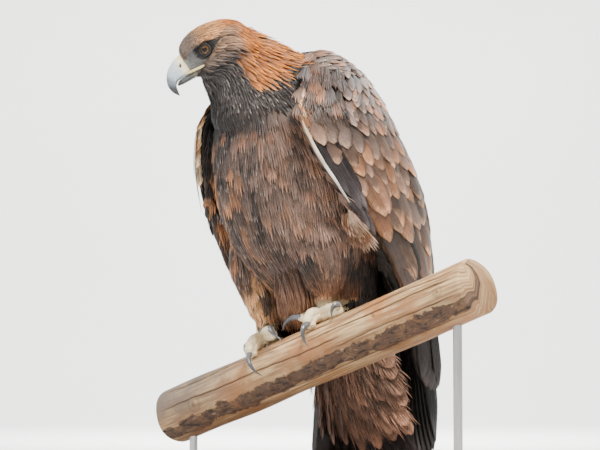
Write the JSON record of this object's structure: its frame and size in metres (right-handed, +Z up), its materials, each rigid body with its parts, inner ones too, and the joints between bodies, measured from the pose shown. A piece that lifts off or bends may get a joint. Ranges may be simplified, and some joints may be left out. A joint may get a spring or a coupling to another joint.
{
  "type": "golden eagle",
  "caption": "Life-size golden eagle perched upright on a short slanting log with folded wings and hanging tail, held by a plain display stand of a flat base and rods.",
  "frame": {"origin": "centre of the underside of the stand's base", "axes": "+Z up, -Y the way the bird's body faces, +X to the bird's left, along the log's level direction"},
  "size_m": [0.6635, 0.3786, 0.7384],
  "materials": {
    "brown_plumage": "soft overlapping feathers, matt",
    "golden_hackles": "soft pointed feathers, matt",
    "dark_flight_feathers": "smooth vanes with a slight sheen",
    "grey_horn": "smooth glossy horn",
    "yellow_skin": "scaled bare skin, matt",
    "brown_eye": "wet and glossy, opaque",
    "peeled_log": "bare weathered wood",
    "dark_stained_board": "smooth dark stain",
    "steel_rod": "brushed"
  },
  "bodies": {
    "root": {"torso": "brown_plumage", "neck": "golden_hackles", "head": "golden_hackles", "cere": "yellow_skin", "bill_upper": "grey_horn", "bill_lower": "grey_horn", "eye_left": "brown_eye", "wing_left_shoulder": "brown_plumage", "wing_left_coverts": "brown_plumage", "wing_left_secondaries": "dark_flight_feathers", "wing_left_primaries": "dark_flight_feathers", "thigh_left": "brown_plumage", "tarsus_left": "brown_plumage", "foot_left": "yellow_skin", "claw_left_inner": "grey_horn", "claw_left_middle": "grey_horn", "claw_left_outer": "grey_horn", "claw_left_hind": "grey_horn", "eye_right": "brown_eye", "wing_right_shoulder": "brown_plumage", "wing_right_coverts": "brown_plumage", "wing_right_secondaries": "dark_flight_feathers", "wing_right_primaries": "dark_flight_feathers", "thigh_right": "brown_plumage", "tarsus_right": "brown_plumage", "foot_right": "yellow_skin", "claw_right_inner": "grey_horn", "claw_right_middle": "grey_horn", "claw_right_outer": "grey_horn", "claw_right_hind": "grey_horn", "tail_feathers": "dark_flight_feathers", "undertail_coverts": "brown_plumage", "uppertail_coverts": "brown_plumage", "perch_log": "peeled_log", "stand_base": "dark_stained_board", "stand_rod_low": "steel_rod", "stand_rod_high": "steel_rod"}
  },
  "joints": []
}
